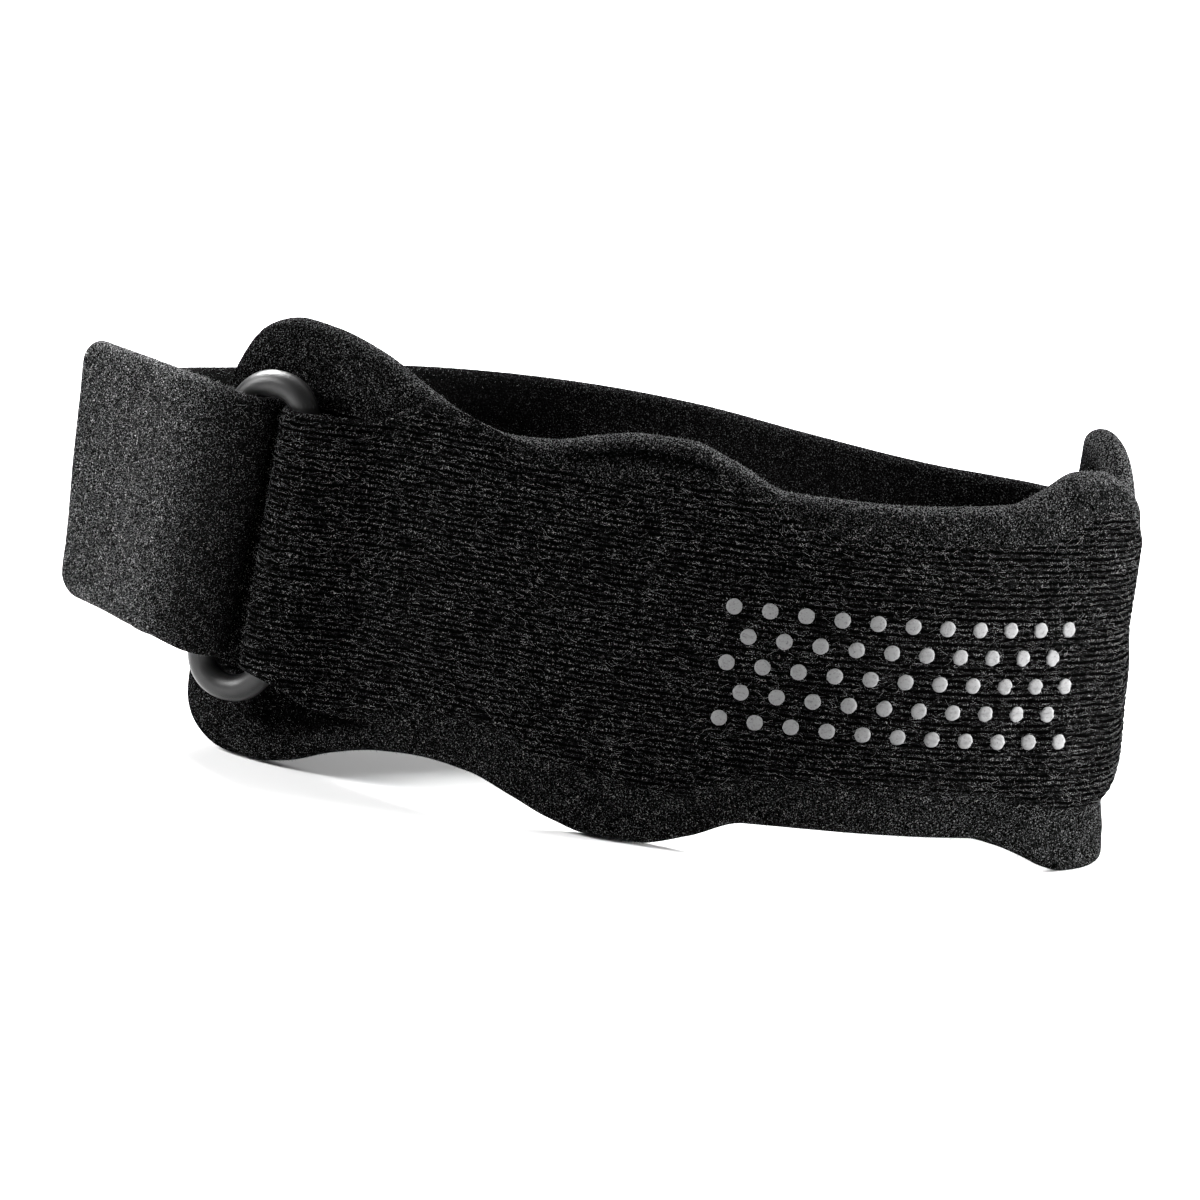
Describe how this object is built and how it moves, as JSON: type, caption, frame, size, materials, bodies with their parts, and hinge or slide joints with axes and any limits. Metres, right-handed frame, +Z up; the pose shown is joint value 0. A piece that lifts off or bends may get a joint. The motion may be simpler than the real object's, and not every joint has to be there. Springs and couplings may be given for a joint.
{
  "type": "patella strap",
  "caption": "Patella strap: contoured padded knit band with an oval ring at one end, and a plush strap round the back, through the ring and folded to a free end",
  "frame": {"origin": "centre of the overall box in plan, at the lowest face of the lobes", "axes": "+X to the right of the pad's front, +Y from the front of the pad towards the back of the loop, +Z up"},
  "size_m": [0.1628, 0.0796, 0.0675],
  "materials": {
    "plush_fabric": "brushed plush over foam",
    "knit_fabric": "ribbed knit",
    "ring_plastic": "satin moulded",
    "loop_fabric": "brushed loop pile",
    "hook_tape": "fine hooks"
  },
  "bodies": {
    "root": {"pad": "plush_fabric", "knit_band": "knit_fabric", "ring": "ring_plastic", "strap": "loop_fabric", "hook_patch": "hook_tape"}
  },
  "joints": []
}
